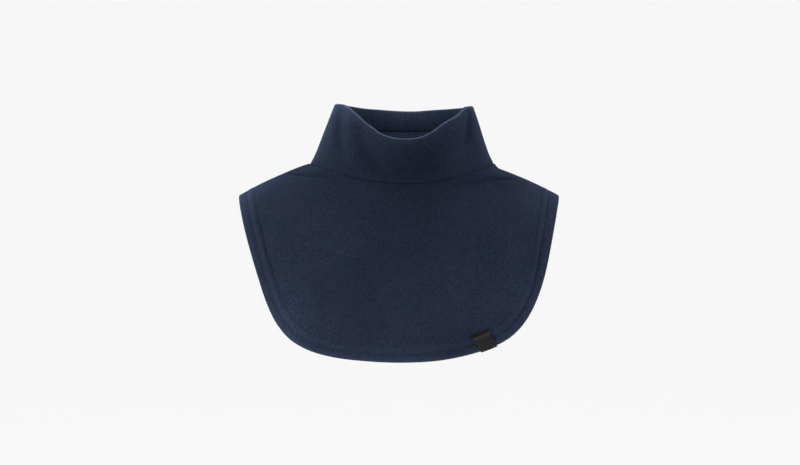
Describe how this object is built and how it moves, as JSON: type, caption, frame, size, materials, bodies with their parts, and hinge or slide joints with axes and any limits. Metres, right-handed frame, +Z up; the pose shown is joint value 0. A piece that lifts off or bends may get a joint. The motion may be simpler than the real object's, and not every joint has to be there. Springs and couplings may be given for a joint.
{
  "type": "neck warmer",
  "caption": "Fleece neck warmer in its worn form, with a standing collar sewn to a front and a back bib, a turned stitched hem and a small folded label.",
  "frame": {"origin": "the middle of the neck seam, where the collar meets the bibs round the wearer's neck", "axes": "+Z up along the neck, -Y out of the front bib, +X to the right as seen from the front"},
  "size_m": [0.3356, 0.1551, 0.2644],
  "materials": {
    "collar_fleece": "matt brushed fleece, navy",
    "panel_fleece": "matt brushed fleece, navy",
    "label_tape": "woven tape with a faint sheen, black"
  },
  "bodies": {
    "root": {"collar": "collar_fleece", "front_panel": "panel_fleece", "back_panel": "panel_fleece", "label": "label_tape"}
  },
  "joints": []
}
